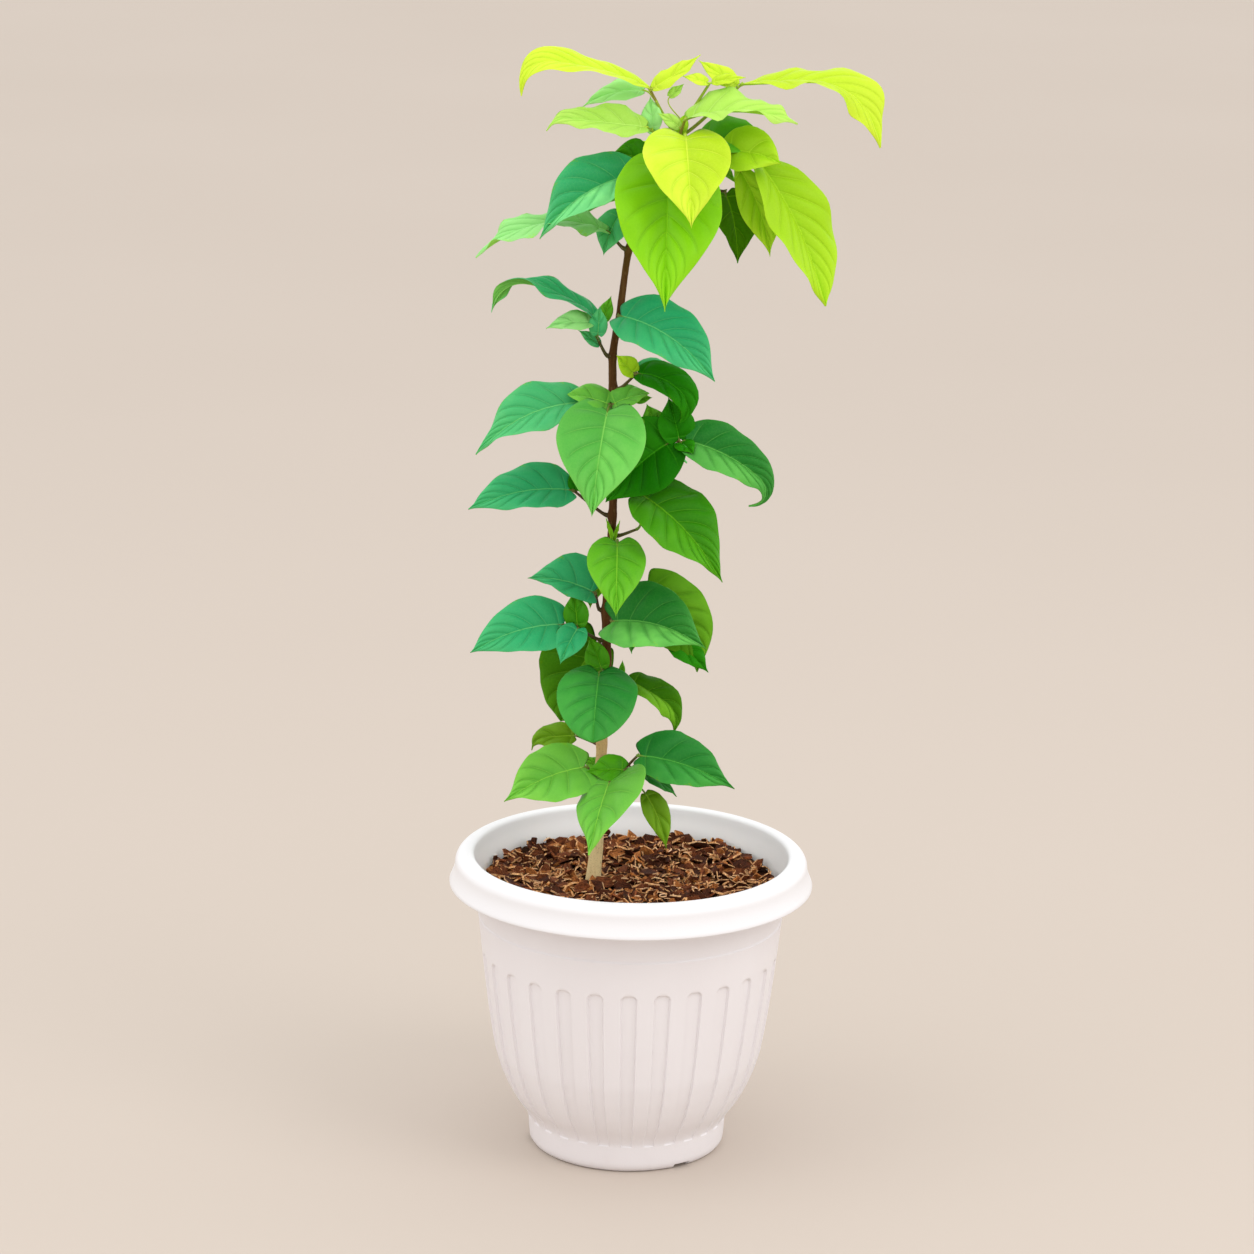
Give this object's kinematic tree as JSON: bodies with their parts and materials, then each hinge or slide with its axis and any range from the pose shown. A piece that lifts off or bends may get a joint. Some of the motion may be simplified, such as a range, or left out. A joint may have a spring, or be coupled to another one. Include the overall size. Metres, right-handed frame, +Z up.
{
  "type": "potted bael tree sapling",
  "caption": "Young bael tree with drooping heart-shaped leaves along one thin stem, in a round fluted white pot with a rolled rim, topped with bark chips.",
  "frame": {"origin": "centre of the pot's flat underside, on the surface that it stands on", "axes": "+Z up along the plant; the pictured side faces -Y, and +X is to its right"},
  "size_m": [0.291, 0.26, 0.7929],
  "materials": {
    "white_plastic": "satin white moulded plastic with soft highlights",
    "potting_mix": "matt dark brown crumbly mix",
    "bark_chips": "matt dark brown flakes with lighter tan edges and loose fibres",
    "stem_bark": "smooth young bark, pale khaki at the foot, dark maroon brown above",
    "lime_leaf": "soft satin young leaf, bright lime with yellow veins",
    "green_leaf": "satin mid green leaf with pale green veins",
    "teal_leaf": "satin dark bluish green leaf with pale veins"
  },
  "bodies": {
    "root": {"pot": "white_plastic", "potting_soil": "potting_mix", "bark_mulch": "bark_chips", "trunk": "stem_bark", "tier_1_left_shoot": "green_leaf", "tier_1_right_shoot": "green_leaf", "tier_1_back_shoot": "green_leaf", "tier_2_front_shoot": "green_leaf", "tier_2_right_shoot": "green_leaf", "tier_2_back_shoot": "green_leaf", "tier_3_left_shoot": "teal_leaf", "tier_3_low_left_shoot": "teal_leaf", "tier_3_right_shoot": "green_leaf", "tier_4_front_shoot": "green_leaf", "tier_4_right_shoot": "green_leaf", "tier_5_left_shoot": "teal_leaf", "tier_5_right_shoot": "green_leaf", "tier_5_front_shoot": "green_leaf", "tier_5_upper_left_shoot": "teal_leaf", "tier_6_right_shoot": "green_leaf", "tier_6_left_shoot": "teal_leaf", "tier_6_front_shoot": "teal_leaf", "tier_7_left_shoot": "green_leaf", "tier_7_upper_left_shoot": "teal_leaf", "tier_8_low_front_shoot": "lime_leaf", "tier_8_low_right_shoot": "teal_leaf", "tier_8_right_shoot": "lime_leaf", "tier_8_front_shoot": "lime_leaf", "tier_8_left_shoot": "lime_leaf", "tier_8_middle_shoot": "lime_leaf", "tier_8_upper_left_shoot": "lime_leaf", "tier_8_far_right_shoot": "lime_leaf", "tier_8_top_shoot": "lime_leaf", "tier_1_rear_shoot": "teal_leaf", "tier_2_rear_shoot": "green_leaf", "tier_3_rear_shoot": "teal_leaf", "tier_4_rear_shoot": "green_leaf", "tier_5_rear_shoot": "teal_leaf", "tier_6_rear_shoot": "green_leaf", "tier_7_rear_shoot": "teal_leaf", "tier_8_rear_shoot": "green_leaf"}
  },
  "joints": []
}
